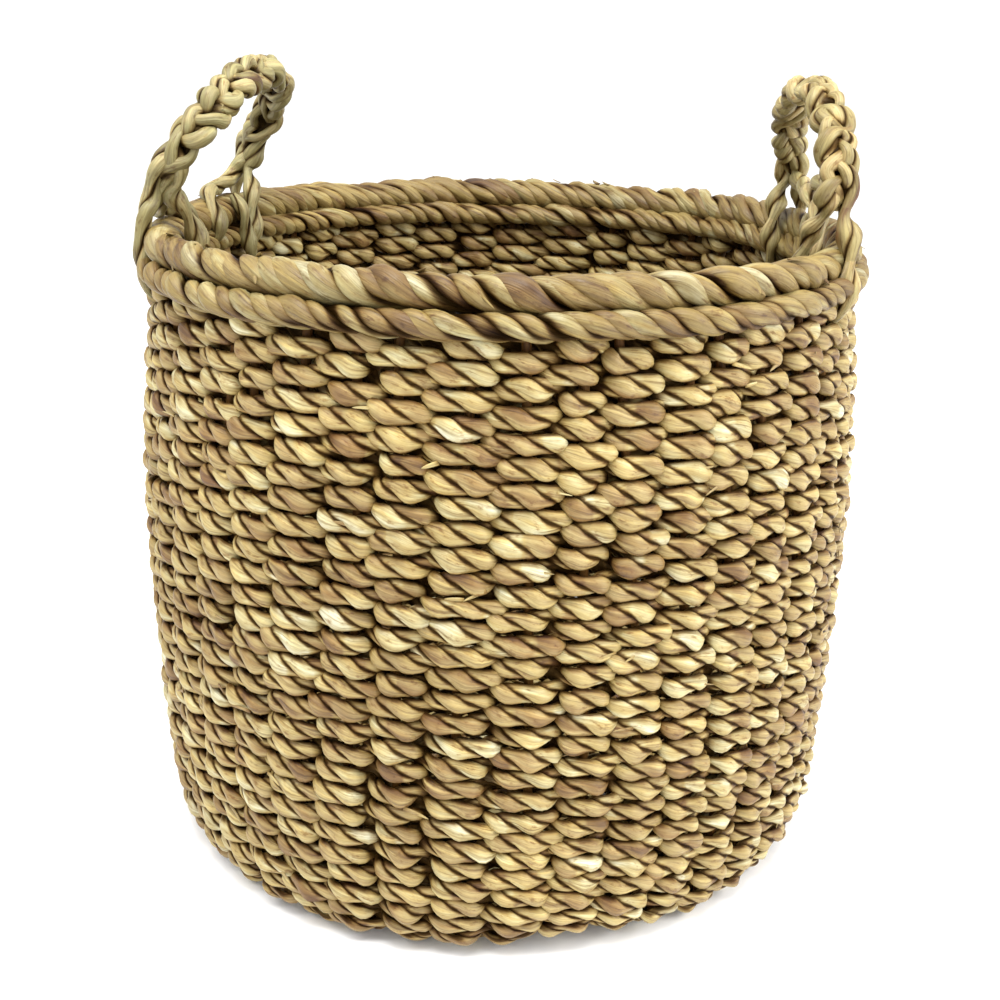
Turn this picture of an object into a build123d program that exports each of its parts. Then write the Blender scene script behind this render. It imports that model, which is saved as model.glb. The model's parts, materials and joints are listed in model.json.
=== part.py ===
from build123d import *

import math
import os

# A round seagrass storage basket with two rope handles. Millimetres, +Z up.
# The origin is the middle of the underside. The handles stand at -X and +X.
# The stakes run from the middle of the base, turn up at the corner and end under the rim.
# Wall rows weave in front of one stake and behind the next.

# Driving dimensions
BODY_HEIGHT = 355.0          # underside to the top of the rim border
RIM_RADIUS = 191.0           # middle of the wall at the rim
WIDEST_RADIUS = 196.5        # middle of the wall where the basket is widest
WIDEST_HEIGHT = 190.0
FOOT_RADIUS = 190.0          # middle of the wall where it leaves the rounded corner
FOOT_HEIGHT = 24.0
STAKE_COUNT = 44             # even, so that the weave closes on itself
STAKE_RADIUS = 2.5
CORD_THICKNESS = 6.5         # of a wall row, across the wall
STRAND_HEIGHT = 5.8          # of the flat strands that make the base rows
CORNER_STRAND_RADIUS = 2.4
RIM_STRAND_RADIUS = 5.0
RIM_BORDER_RADIUS = 9.0
BASE_CENTRE_RADIUS = 30.0
BASE_ROW_COUNT = 13
CORNER_ROW_COUNT = 3
FIRST_CORNER_ROW = 0.45      # place of the first corner row, in row spacings round the corner
WALL_ROW_COUNT = 50
ROWS_PER_COURSE = 2
GAP = 0.3                    # air between pieces that lie against each other
ROW_GAP = 0.15               # air between one wall row and the next
WEAVE_SLACK = 0.55           # air between a wall row and the stake that it passes

# Handles
ROPE_RADIUS = 8.5
ROPE_END_RADIUS = 9.2        # the rope's ends, swollen where its strands part
HALF_SPAN = 78.0             # half the distance between the two feet of a handle
FOOT_STRAND_RADIUS = 4.5
FOOT_BOTTOM = 305.0          # where the strands of a foot end, below the rim
LEFT_LEAN = 31.0             # degrees that the loop leans in over the opening
RIGHT_LEAN = 7.0
LEFT_LOOP_HEIGHT = 60.0      # from the feet to the middle of the rope at its top
RIGHT_LOOP_HEIGHT = 52.0     # a handle drawn a little further down into the wall

# Heights and radii that follow
WEAVE_SWING = STAKE_RADIUS + CORD_THICKNESS / 2 + WEAVE_SLACK
SPOKE_HEIGHT = STRAND_HEIGHT + GAP + STAKE_RADIUS
BASE_THICKNESS = 2 * SPOKE_HEIGHT
BORDER_HEIGHT = BODY_HEIGHT - RIM_BORDER_RADIUS
STAKE_TOP = BORDER_HEIGHT - RIM_BORDER_RADIUS - GAP
RIM_ROW_HEIGHT = STAKE_TOP - RIM_STRAND_RADIUS
RIM_ROW_OFFSET = STAKE_RADIUS + 2 * GAP + RIM_STRAND_RADIUS
WALL_TOP = RIM_ROW_HEIGHT - RIM_STRAND_RADIUS - ROW_GAP
FOOT_ANGLE = math.degrees(math.asin(HALF_SPAN / RIM_RADIUS))
HINGE_X = RIM_RADIUS * math.cos(math.radians(FOOT_ANGLE))


def circle_through(first, second, third):
    """Centre and radius of the circle through three points of a plane."""
    (ax, ay), (bx, by), (cx, cy) = first, second, third
    twice_area = 2 * (ax * (by - cy) + bx * (cy - ay) + cx * (ay - by))
    a2, b2, c2 = ax**2 + ay**2, bx**2 + by**2, cx**2 + cy**2
    x = (a2 * (by - cy) + b2 * (cy - ay) + c2 * (ay - by)) / twice_area
    y = (a2 * (cx - bx) + b2 * (ax - cx) + c2 * (bx - ax)) / twice_area
    return x, y, math.hypot(ax - x, ay - y)


# The upright stretch of a stake is one arc: out to the widest height and in again to the rim.
WALL_CENTRE_R, WALL_CENTRE_Z, WALL_ARC = circle_through(
    (FOOT_RADIUS, FOOT_HEIGHT), (WIDEST_RADIUS, WIDEST_HEIGHT), (RIM_RADIUS, STAKE_TOP)
)

# The corner arc joins the level spoke to the wall arc, tangent to both.
FOOT_SLOPE = math.asin((WALL_CENTRE_Z - FOOT_HEIGHT) / WALL_ARC)
CORNER_ARC = (FOOT_HEIGHT - SPOKE_HEIGHT) / (1 - math.sin(FOOT_SLOPE))
CORNER_CENTRE_R = FOOT_RADIUS - CORNER_ARC * math.cos(FOOT_SLOPE)
CORNER_TURN = math.pi / 2 - FOOT_SLOPE


def wall_radius(height):
    """Radius of the middle of the wall at a height."""
    return WALL_CENTRE_R + math.sqrt(WALL_ARC**2 - (height - WALL_CENTRE_Z) ** 2)


RIM_ROW_RADIUS = wall_radius(RIM_ROW_HEIGHT)
FOOT_OFFSET = RIM_ROW_RADIUS - RIM_RADIUS + RIM_ROW_OFFSET + RIM_STRAND_RADIUS + GAP + FOOT_STRAND_RADIUS
HINGE_HEIGHT = BORDER_HEIGHT + FOOT_OFFSET + FOOT_STRAND_RADIUS + GAP + ROPE_END_RADIUS


def corner_point(turn):
    """Point of a stake, as radius and height, after it has turned by an angle from level."""
    radius = CORNER_CENTRE_R + CORNER_ARC * math.sin(turn)
    height = SPOKE_HEIGHT + CORNER_ARC * (1 - math.cos(turn))
    return radius, height


def polar(radius, angle):
    """Point of the XY plane at a radius and an angle in radians."""
    return Vector(radius * math.cos(angle), radius * math.sin(angle))


def ring(radius, height, strand_radius):
    """Closed ring of round strand about the Z axis."""
    return Pos(0, 0, height) * Torus(radius, strand_radius)


def flat_ring(inner, outer, bottom, height):
    """Closed ring of flat strand about the Z axis."""
    profile = Circle(outer) - Circle(inner)
    return Pos(0, 0, bottom) * extrude(profile, height)


def stakes():
    """Every stake: level under the base rows, round the corner and up the wall."""
    middle_radius, middle_height = corner_point(CORNER_TURN / 2)
    middle_of_wall = (WALL_CENTRE_Z + STAKE_TOP) / 2
    start = Vector(BASE_CENTRE_RADIUS + GAP, 0, SPOKE_HEIGHT)
    corner = Vector(CORNER_CENTRE_R, 0, SPOKE_HEIGHT)
    foot = Vector(FOOT_RADIUS, 0, FOOT_HEIGHT)
    path = Wire([
        Edge.make_line(start, corner),
        Edge.make_three_point_arc(corner, Vector(middle_radius, 0, middle_height), foot),
        Edge.make_three_point_arc(
            foot,
            Vector(wall_radius(middle_of_wall), 0, middle_of_wall),
            Vector(RIM_RADIUS, 0, STAKE_TOP),
        ),
    ])
    section = Plane(origin=start, z_dir=(1, 0, 0)) * Circle(STAKE_RADIUS)
    stake = sweep(section, path)
    return [Rot(0, 0, number * 360 / STAKE_COUNT) * stake for number in range(STAKE_COUNT)]


def base_centre():
    """The button at the middle of the base. Its underside is the face at the origin."""
    return [extrude(Circle(BASE_CENTRE_RADIUS), BASE_THICKNESS)]


def base_row(number):
    """One twined base row: a strand under the stakes and a strand over them."""
    pitch = (CORNER_CENTRE_R - BASE_CENTRE_RADIUS) / BASE_ROW_COUNT
    inner = BASE_CENTRE_RADIUS + number * pitch + GAP
    outer = BASE_CENTRE_RADIUS + (number + 1) * pitch
    under = flat_ring(inner, outer, 0, STRAND_HEIGHT)
    over = flat_ring(inner, outer, BASE_THICKNESS - STRAND_HEIGHT, STRAND_HEIGHT)
    return [under, over]


def corner_row(number):
    """One twined corner row: a strand outside the stakes and a strand inside them."""
    turn = (number + FIRST_CORNER_ROW) * CORNER_TURN / CORNER_ROW_COUNT
    radius, height = corner_point(turn)
    offset = STAKE_RADIUS + GAP + CORNER_STRAND_RADIUS
    out_r, out_z = offset * math.sin(turn), -offset * math.cos(turn)
    outside = ring(radius + out_r, height + out_z, CORNER_STRAND_RADIUS)
    inside = ring(radius - out_r, height - out_z, CORNER_STRAND_RADIUS)
    return [outside, inside]


def bend_radius(radius):
    """Radius of the arcs of a wall row, so that the bends at neighbouring stakes are tangent.

    The bends at even stakes are centred inside the stake circle, those at odd stakes outside
    it, and the centres of neighbouring bends lie two bend radii apart.
    """
    step = math.cos(2 * math.pi / STAKE_COUNT)
    square = 1 - step
    linear = 2 * WEAVE_SWING * (1 + step)
    constant = -(radius**2 * (1 - step) + (1 + step) * WEAVE_SWING**2)
    return (math.sqrt(linear**2 - 4 * square * constant) - linear) / (2 * square)


def wave_outline(radius, side):
    """Closed outline of a wall row, half a cord outside (side 1) or inside (side -1) its middle."""
    bend = bend_radius(radius)
    reach = side * CORD_THICKNESS / 2
    step = 2 * math.pi / STAKE_COUNT
    centres = [
        polar(radius + (WEAVE_SWING - bend) * (-1) ** number, number * step)
        for number in range(STAKE_COUNT)
    ]
    crests = [
        polar(radius + WEAVE_SWING * (-1) ** number + reach, number * step)
        for number in range(STAKE_COUNT)
    ]
    joins = []
    for number, centre in enumerate(centres):
        following = centres[(number + 1) % STAKE_COUNT]
        outward = (-1) ** number
        joins.append(centre + (following - centre).normalized() * (bend + outward * reach))
    return Wire([
        Edge.make_three_point_arc(joins[number - 1], crests[number], joins[number])
        for number in range(STAKE_COUNT)
    ])


def wall_row(number):
    """One weft cord, in front of the even stakes and behind the odd ones, or the other way."""
    pitch = (WALL_TOP - FOOT_HEIGHT) / WALL_ROW_COUNT
    bottom = FOOT_HEIGHT + number * pitch
    radius = wall_radius(bottom + pitch / 2)
    face = Face(wave_outline(radius, 1), [wave_outline(radius, -1)])
    cord = extrude(face, pitch - ROW_GAP, dir=(0, 0, 1))
    turn = (number % 2) * 360 / STAKE_COUNT
    return Pos(0, 0, bottom) * Rot(0, 0, turn) * cord


def wall_course(number):
    """Neighbouring wall rows, each one stake out of step with the one below it."""
    first = number * ROWS_PER_COURSE
    return [wall_row(first + row) for row in range(ROWS_PER_COURSE)]


def rim_row():
    """The twined pair under the border: a strand outside the stakes and one inside them."""
    return [
        ring(RIM_ROW_RADIUS + side * RIM_ROW_OFFSET, RIM_ROW_HEIGHT, RIM_STRAND_RADIUS)
        for side in (1, -1)
    ]


def rim_border():
    """The rolled edge that closes the basket."""
    return [ring(RIM_RADIUS, BORDER_HEIGHT, RIM_BORDER_RADIUS)]


def handle_rope(side, lean, height):
    """Loop of thick rope on one side (-1 left, 1 right), leaning in by an angle in degrees.

    It is an arc of a circle through both feet and a top at the given height above them. Its round
    ends are centred on the line that it leans about.
    """
    arc_radius = (HALF_SPAN**2 + height**2) / (2 * height)
    arc_angle = 2 * math.degrees(math.asin(HALF_SPAN / arc_radius))
    arc = Torus(arc_radius, ROPE_RADIUS, major_angle=arc_angle, align=None)
    arch = Pos(0, height - arc_radius, 0) * Rot(0, 0, 90 - arc_angle / 2) * arc
    ends = [Pos(end * HALF_SPAN, 0, 0) * Sphere(ROPE_END_RADIUS) for end in (-1, 1)]
    loop = arch + ends[0] + ends[1]
    upright = Rot(0, 0, 90) * Rot(90, 0, 0) * loop
    return [Pos(side * HINGE_X, 0, HINGE_HEIGHT) * Rot(0, -side * lean, 0) * upright]


def handle_foot(side, end):
    """Strand that crosses the rim under one end of a handle rope and runs down both faces."""
    outer_end = Vector(FOOT_OFFSET, 0, FOOT_BOTTOM)
    outer_bend = Vector(FOOT_OFFSET, 0, BORDER_HEIGHT)
    crown = Vector(0, 0, BORDER_HEIGHT + FOOT_OFFSET)
    inner_bend = Vector(-FOOT_OFFSET, 0, BORDER_HEIGHT)
    inner_end = Vector(-FOOT_OFFSET, 0, FOOT_BOTTOM)
    path = Wire([
        Edge.make_line(outer_end, outer_bend),
        Edge.make_three_point_arc(outer_bend, crown, inner_bend),
        Edge.make_line(inner_bend, inner_end),
    ])
    section = Plane(origin=outer_end, z_dir=(0, 0, 1)) * Circle(FOOT_STRAND_RADIUS)
    strand = Pos(RIM_RADIUS, 0, 0) * sweep(section, path)
    angle = end * FOOT_ANGLE if side > 0 else 180 - end * FOOT_ANGLE
    return [Rot(0, 0, angle) * strand]


def basket():
    """Every sub-part as a list of solids, by the name of its node."""
    parts = {"base_centre": base_centre(), "stakes": stakes()}
    for number in range(BASE_ROW_COUNT):
        parts[f"base_row_{number + 1:02d}"] = base_row(number)
    for number in range(CORNER_ROW_COUNT):
        parts[f"corner_row_{number + 1}"] = corner_row(number)
    for number in range(WALL_ROW_COUNT // ROWS_PER_COURSE):
        parts[f"wall_course_{number + 1:02d}"] = wall_course(number)
    parts["rim_row"] = rim_row()
    parts["rim_border"] = rim_border()
    handles = (
        ("left", -1, LEFT_LEAN, LEFT_LOOP_HEIGHT),
        ("right", 1, RIGHT_LEAN, RIGHT_LOOP_HEIGHT),
    )
    for name, side, lean, height in handles:
        parts[f"{name}_handle_rope"] = handle_rope(side, lean, height)
        parts[f"{name}_handle_front_foot"] = handle_foot(side, -1)
        parts[f"{name}_handle_back_foot"] = handle_foot(side, 1)
    return parts


def main():
    os.makedirs("parts", exist_ok=True)
    for name, solids in basket().items():
        shape = solids[0] if len(solids) == 1 else Compound(children=solids)
        export_step(shape, f"parts/{name}.step")
    print(f"hinges: x {HINGE_X:.2f}, z {HINGE_HEIGHT:.2f}; wall top {WALL_TOP:.2f}")
    print(f"base thickness {BASE_THICKNESS:.2f}; corner arc {CORNER_ARC:.2f} from r {CORNER_CENTRE_R:.2f}")


main()
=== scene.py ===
import json
import math

import bpy
import numpy as np
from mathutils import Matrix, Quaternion, Vector


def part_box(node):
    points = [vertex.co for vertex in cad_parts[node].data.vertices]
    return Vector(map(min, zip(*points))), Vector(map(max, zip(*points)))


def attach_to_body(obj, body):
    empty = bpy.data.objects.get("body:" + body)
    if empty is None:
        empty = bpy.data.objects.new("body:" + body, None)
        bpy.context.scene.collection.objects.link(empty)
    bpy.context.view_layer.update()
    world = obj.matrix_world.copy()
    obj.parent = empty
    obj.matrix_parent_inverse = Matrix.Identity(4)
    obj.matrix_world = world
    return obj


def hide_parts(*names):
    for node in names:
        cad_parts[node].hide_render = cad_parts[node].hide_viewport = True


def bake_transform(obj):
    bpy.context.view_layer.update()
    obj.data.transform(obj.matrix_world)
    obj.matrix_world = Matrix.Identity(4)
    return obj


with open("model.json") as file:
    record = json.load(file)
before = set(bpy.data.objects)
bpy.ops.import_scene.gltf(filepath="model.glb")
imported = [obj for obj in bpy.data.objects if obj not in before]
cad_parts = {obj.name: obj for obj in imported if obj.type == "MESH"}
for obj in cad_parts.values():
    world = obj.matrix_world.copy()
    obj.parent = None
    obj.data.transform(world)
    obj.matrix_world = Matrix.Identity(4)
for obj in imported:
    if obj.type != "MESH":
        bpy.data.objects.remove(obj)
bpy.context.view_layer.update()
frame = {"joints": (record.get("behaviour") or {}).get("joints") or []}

# The looks of a hand-woven seagrass basket, built round the imported frame. Lengths are in metres.
# Cords are made of one or two plies, and every ply is a tube whose points carry three attributes:
#   fibre    millimetres along the ply and across its section, which the grass streaks follow
#   crevice  painted shade: 0 on the open crown of a cord, 1 where it tucks behind its neighbours
#   tone     0 to 1, one value for each stretch of a ply between two crossings: dark to pale grass
# Places come from the frame's boxes, so each woven piece lies where its CAD node is.

# ---------------------------------------------------------------- sizes

MM = 0.001
FULL_TURN = 2 * math.pi

# Where each kind of random draw starts.
PLY_SEED = 7000
ROW_SEED = 1000
STAKE_SEED = 41
STAKE_CORD_SEED = 900
BASE_MIDDLE_SEED = 700
LOOSE_SEED, LOOSE_END_SEED = 4400, 2000
RIM_END_SEED, RIM_END_CORD_SEED = 4500, 3000
OUTER_ROW_SEED, INNER_ROW_SEED, BORDER_SEED = 60, 70, 80
HANDLE_SEEDS = {"left": 300, "right": 310}

STAKE_COUNT = 44
BASE_NODES = 13
CORNER_NODES = 3
WALL_NODES = 25
ROWS_PER_NODE = 2
WALL_HALF_THICKNESS = 9.6 * MM       # middle of the wall to the outside of a CAD row

SAMPLES_PER_STAKE = 14               # points of a row from one stake to the next
FEWEST_SAMPLES = 160                 # points of a short row, near the middle of the base
FULL_DETAIL_RADIUS = 0.15            # rows smaller than this get fewer points
PLY_SIDES = 12
PLY_PITCH = 32 * MM                  # length in which a ply of a weft cord turns once

# For each kind of row: how far it swings out and in, half its thickness, and half its height where
# it crosses a stake and where it passes between two stakes.
WALL_CORD = {"swing": 5.5 * MM, "half_thickness": 3.9 * MM, "full": 6.5 * MM, "pinched": 4.8 * MM}
CORNER_CORD = {"swing": 4.3 * MM, "half_thickness": 3.3 * MM, "full": 5.4 * MM, "pinched": 3.8 * MM}
BASE_CORD = {"swing": 4.2 * MM, "half_thickness": 3.1 * MM, "full": 4.4 * MM, "pinched": 3.0 * MM}
PAIRED_STAKES_RADIUS = 0.105         # base rows inside this cross two stakes at once

# ---------------------------------------------------------------- seeded unevenness


STITCH_LIMIT = 1.6                   # no stitch is further from the rest than this many spreads


def smooth_step(low, high, values):
    """0 below `low`, 1 above `high`, and a smooth rise between them."""
    part = np.clip((values - low) / (high - low), 0, 1)
    return part * part * (3 - 2 * part)


def wander(random, count, knots):
    """A smooth closed curve of `count` values between -1 and 1 through random knots."""
    values = random.uniform(-1, 1, knots)
    place = np.arange(count) * knots / count
    left = np.floor(place).astype(int)
    part = smooth_step(0, 1, place - left)
    return values[left % knots] * (1 - part) + values[(left + 1) % knots] * part


def per_stitch(random, stakes):
    """One random value for each stake, held over the stitch that crosses it."""
    values = np.clip(random.normal(0, 1, STAKE_COUNT), -STITCH_LIMIT, STITCH_LIMIT)
    return values[np.round(stakes).astype(int) % STAKE_COUNT]


# ---------------------------------------------------------------- tubes


def unit(vectors):
    return vectors / np.linalg.norm(vectors, axis=-1, keepdims=True)


def tube_rings(centre, across, up, half_across, half_up, swell, turned=0.0):
    """Points of a tube: for each point of the centre line, a ring with one point per value of swell.
    `turned` is the angle by which each ring is turned."""
    turn = ring_turn(swell.shape[1]) + turned
    return (
        centre[:, None, :]
        + across[:, None, :] * (half_across[:, None] * np.cos(turn) * swell)[:, :, None]
        + up[:, None, :] * (half_up[:, None] * np.sin(turn) * swell)[:, :, None]
    )


def ring_turn(sides):
    """The angle of each point round a tube."""
    return np.arange(sides) * FULL_TURN / sides


NOISE_STEP = 29.0                    # from one strand's stretch of the noise to the next one's
NOISE_SLANT = -0.37                  # how much of it also goes across the ply's other way
SEED_STEP = 13


class Strands:
    """Collects tubes and turns them into one mesh object."""

    def __init__(self):
        self.points = []
        self.faces = []
        self.fibre = []
        self.crevice = []
        self.tone = []
        self.count = 0
        self.strand = 0

    def add(self, rings, size, crevice, tone, closed, seed, turned=0.0):
        """Adds one tube from its rings of points. `size` is its mean radius, `crevice` has a value
        of painted shade for each point, `tone` has one for each ring, and `turned` is what tube_rings was
        given."""
        rows, sides = rings.shape[:2]
        step = np.linalg.norm(np.diff(rings.mean(1), axis=0), axis=1)
        along = np.concatenate([[0], np.cumsum(step)]) / MM
        turn = ring_turn(sides) + turned
        apart = NOISE_STEP * (self.strand + SEED_STEP * seed)
        fibre = np.empty((rows, sides, 3))
        fibre[:, :, 0] = along[:, None]
        fibre[:, :, 1] = size / MM * np.cos(turn) + apart
        fibre[:, :, 2] = size / MM * np.sin(turn) + NOISE_SLANT * apart
        tone = np.repeat(tone[:, None], sides, 1)
        index = self.count + np.arange(rows * sides).reshape(rows, sides)
        following = np.roll(index, -1, 0) if closed else index[1:]
        this = index if closed else index[:-1]
        quads = np.stack([this, np.roll(this, -1, 1), np.roll(following, -1, 1), following], -1)
        self.points.append(rings.reshape(-1, 3))
        self.fibre.append(fibre.reshape(-1, 3))
        self.crevice.append(crevice.reshape(-1))
        self.tone.append(tone.reshape(-1))
        self.faces.append(quads.reshape(-1, 4))
        self.count += rows * sides
        if not closed:
            for end in (0, -1):
                self._cap(rings[end], fibre[end], crevice[end], tone[end], index[end], end == -1)
        self.strand += 1

    def _cap(self, ring, fibre, crevice, tone, index, last):
        """Closes one end of an open tube with a fan round a middle point."""
        self.points.append(ring.mean(0)[None])
        self.fibre.append(fibre.mean(0)[None])
        self.crevice.append(np.array([crevice.mean()]))
        self.tone.append(np.array([tone.mean()]))
        middle = np.full(len(index), self.count)
        following = np.roll(index, -1)
        fan = [middle, index, following] if last else [middle, following, index]
        self.faces.append(np.stack(fan, -1))
        self.count += 1

    def build(self, name, material):
        """Makes the object, smooth shaded, with its attributes."""
        mesh = bpy.data.meshes.new(name)
        points = np.concatenate(self.points)
        mesh.vertices.add(len(points))
        mesh.vertices.foreach_set("co", points.astype(np.float32).ravel())
        sizes = np.concatenate([np.full(len(faces), faces.shape[1]) for faces in self.faces])
        corners = np.concatenate([faces.ravel() for faces in self.faces])
        mesh.loops.add(len(corners))
        mesh.loops.foreach_set("vertex_index", corners.astype(np.int32))
        mesh.polygons.add(len(sizes))
        starts = np.concatenate([[0], np.cumsum(sizes)[:-1]])
        mesh.polygons.foreach_set("loop_start", starts.astype(np.int32))
        mesh.update(calc_edges=True)
        mesh.shade_smooth()
        fibre = mesh.attributes.new("fibre", "FLOAT_VECTOR", "POINT")
        fibre.data.foreach_set("vector", np.concatenate(self.fibre).astype(np.float32).ravel())
        for label, values in (("crevice", self.crevice), ("tone", self.tone)):
            attribute = mesh.attributes.new(label, "FLOAT", "POINT")
            attribute.data.foreach_set("value", np.concatenate(values).astype(np.float32))
        mesh.materials.append(material)
        piece = bpy.data.objects.new(name, mesh)
        bpy.context.scene.collection.objects.link(piece)
        return piece


# ---------------------------------------------------------------- twisted cords

PLY_SIZE = {1: 1.0, 2: 0.68}         # of the cord's half size, by the number of its plies
PLY_OFFSET = {1: 0.0, 2: 0.36}
# Painted shade in the groove between two plies: how dark it gets.
GROOVE_SHADE = 0.92
GROOVE = (0.0, 0.5)                  # how far towards the cord's middle the painted shade in its groove starts and is full dark
LEAF_THIN, LEAF_SWELL = 0.71, 0.45   # size of a ply where it dives, and what its crowns add to it
OWN_TONE = 0.7                       # share of a leaf's own tone in its colour
LEAVES_PER_DRIFT = 6                 # leaves over which the rest of its tone drifts
FEWEST_KNOTS = 4
CREASE_WANDER = 2.5                  # radians that a ply's creases wander round it
CREASE_SAMPLES = 30                  # points from one knot of that wander to the next
PLY_OVAL, PLY_LOBES = 0.06, 0.03     # how far a ply is from round


def leaf_tones(random, phase):
    """The tone along a ply. It changes at every half turn of `phase`, where the ply dives, so each
    visible leaf has its own."""
    leaves = max(FEWEST_KNOTS, round(abs(phase[-1] - phase[0]) / math.pi))
    values = random.uniform(0, 1, leaves)
    leaf = np.floor(phase / math.pi + 0.5).astype(int) % leaves
    slow = 0.5 + 0.5 * wander(random, len(phase), max(FEWEST_KNOTS, leaves // LEAVES_PER_DRIFT))
    return OWN_TONE * values[leaf] + (1 - OWN_TONE) * slow


def leaf_shape(phase):
    """How fat a ply is along its turns: fattest on its crowns, like a leaf."""
    return LEAF_THIN + LEAF_SWELL * np.cos(phase)**2


def add_cord(strands, path, out, half_out, half_up, turns, start, closed, seed, plies=2, tone_phase=None,
             buried=None):
    """Adds a cord of twisted plies round a path, with `out` pointing out of the wall.

    The plies turn so that their crowns run down to the right as seen from outside. The groove
    between them gets painted shade, and `buried` gives the painted shade of any point for what
    else is round the cord. `tone_phase` takes the place of the plies' own turning for their tones.
    """
    if closed:
        along = unit(np.roll(path, -1, 0) - np.roll(path, 1, 0))
        beyond = path[:1]
    else:
        along = unit(np.gradient(path, axis=0))
        beyond = path[-1:]
    up = unit(np.cross(out, along))
    out = unit(np.cross(along, up))
    step = np.linalg.norm(np.diff(path, axis=0, append=beyond), axis=1)
    share = (np.cumsum(step) - step) / step.sum()
    turn = ring_turn(PLY_SIDES)[None, :]         # round a ply, from the side away from the cord's middle
    random = np.random.default_rng(PLY_SEED + seed)
    offset = PLY_OFFSET[plies]
    for ply in range(plies):
        phase = start + FULL_TURN * (ply / plies - turns * share)
        centre = path + out * (offset * half_out * np.cos(phase))[:, None] \
            + up * (offset * half_up * np.sin(phase))[:, None]
        leaf = PLY_SIZE[plies] * (leaf_shape(phase) if plies > 1 else np.ones(len(path)))
        knots = max(FEWEST_KNOTS, len(path) // CREASE_SAMPLES)
        crease = CREASE_WANDER * wander(random, len(path), knots)[:, None]
        swell = 1 + PLY_OVAL * np.cos(2 * turn + crease + random.uniform(0, FULL_TURN)) \
            + PLY_LOBES * np.cos(3 * turn - crease)
        rings = tube_rings(centre, out, up, half_out * leaf, half_up * leaf, swell, phase[:, None])
        # Painted shade in the groove, on the side of each ply that faces the other.
        groove = GROOVE_SHADE * smooth_step(*GROOVE, -np.cos(turn)) * (plies > 1)
        crevice = np.broadcast_to(groove, rings.shape[:2])
        if buried:
            crevice = np.maximum(crevice, buried(rings))
        tone = leaf_tones(random, phase if tone_phase is None else tone_phase)
        strands.add(rings, (half_up * leaf).mean(), crevice, tone, closed, seed, phase[:, None])


# ---------------------------------------------------------------- places from the frame

BASE_POINTS, CORNER_POINTS, WALL_POINTS = 60, 60, 200
PROFILE_DEGREE = 3                   # of the curve of radius against height up the wall
CORNER_PULL = 0.80                   # how full the turn from base to wall is


def bend(handles, count):
    """Points of a cubic curve with the given four handles, without its last point."""
    part = np.linspace(0, 1, count, endpoint=False)[:, None]
    first, second, third, last = (np.array(handle) for handle in handles)
    return first * (1 - part)**3 + 3 * second * part * (1 - part)**2 + 3 * third * part**2 * (1 - part) \
        + last * part**3


def stake_path():
    """Radius and height along a stake, from the base's middle to under the rim, and where each
    stretch of it starts: base, corner, wall, end."""
    base_low, base_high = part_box("base_row_01")
    level = (base_low.z + base_high.z) / 2
    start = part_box("base_centre")[1].x
    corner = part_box(f"base_row_{BASE_NODES:02d}")[1].x
    boxes = [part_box(f"wall_course_{number:02d}") for number in range(1, WALL_NODES + 1)]
    radii = [max(high.x, high.y) - WALL_HALF_THICKNESS for _, high in boxes]
    heights = [(low.z + high.z) / 2 for low, high in boxes]
    profile = np.polyfit(heights, radii, PROFILE_DEGREE)
    foot = boxes[0][0].z
    slope = np.polyval(np.polyder(profile), foot)
    base_part = np.stack([np.linspace(start, corner, BASE_POINTS, endpoint=False),
                          np.full(BASE_POINTS, level)], -1)
    pull = CORNER_PULL * (foot - level)
    foot_radius = np.polyval(profile, foot)
    corner_part = bend([(corner, level), (corner + pull, level),
                        (foot_radius - slope * pull, foot - pull), (foot_radius, foot)], CORNER_POINTS)
    wall_heights = np.linspace(foot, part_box("stakes")[1].z, WALL_POINTS)
    wall_part = np.stack([np.polyval(profile, wall_heights), wall_heights], -1)
    points = np.concatenate([base_part, corner_part, wall_part])
    step = np.linalg.norm(np.diff(points, axis=0), axis=1)
    length = np.concatenate([[0], np.cumsum(step)])
    wall_start = BASE_POINTS + CORNER_POINTS
    last_row = np.interp(boxes[-1][1].z, wall_heights, length[wall_start:])
    return points, length, (0.0, length[BASE_POINTS], length[wall_start], last_row)


PATH, PATH_LENGTH, STRETCHES = stake_path()


def on_path(place):
    """Radius, height and the outward normal (radial, vertical) at a length along a stake."""
    radius, height = (np.interp(place, PATH_LENGTH, PATH[:, axis]) for axis in (0, 1))
    ahead, behind = (
        np.stack([np.interp(place + step, PATH_LENGTH, PATH[:, axis]) for axis in (0, 1)])
        for step in (MM, -MM)
    )
    run, rise = ahead - behind
    size = np.hypot(run, rise)
    return radius, height, rise / size, -run / size


# Stakes are set by hand: unevenly spaced, wandering a little, and crowded together at the front of
# the rim, where they spread again towards the base.
STAKE_RANDOM = np.random.default_rng(STAKE_SEED)
DRIFT_KNOTS = 5
STAKE_JITTER = STAKE_RANDOM.normal(0, 0.11, STAKE_COUNT)
STAKE_DRIFT = STAKE_RANDOM.normal(0, 0.10, (STAKE_COUNT, DRIFT_KNOTS))
FRONT = -math.pi / 2
CROWDING = 0.10
CROWDING_PLACES = [0.3, 0.5, 1.0]    # shares of the stake's length, and the crowding at each
CROWDING_VALUES = [0.0, -0.8, 1.0]


def stake_angle(stakes, place):
    """Angle about Z of a (fractional) stake number at a length along the stakes."""
    share = np.clip(place / STRETCHES[3], 0, 1)
    knots = np.linspace(0, 1, DRIFT_KNOTS)
    whole = np.floor(stakes).astype(int)
    part = stakes - whole
    drift = np.array([np.interp(share, knots, row) for row in STAKE_DRIFT])
    shift = (STAKE_JITTER + drift) * share
    smooth = shift[whole % STAKE_COUNT] * (1 - part) + shift[(whole + 1) % STAKE_COUNT] * part
    angle = (stakes + smooth) * FULL_TURN / STAKE_COUNT
    crowd = CROWDING * np.interp(share, CROWDING_PLACES, CROWDING_VALUES)
    return angle - crowd * np.sin(angle - FRONT)


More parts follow.
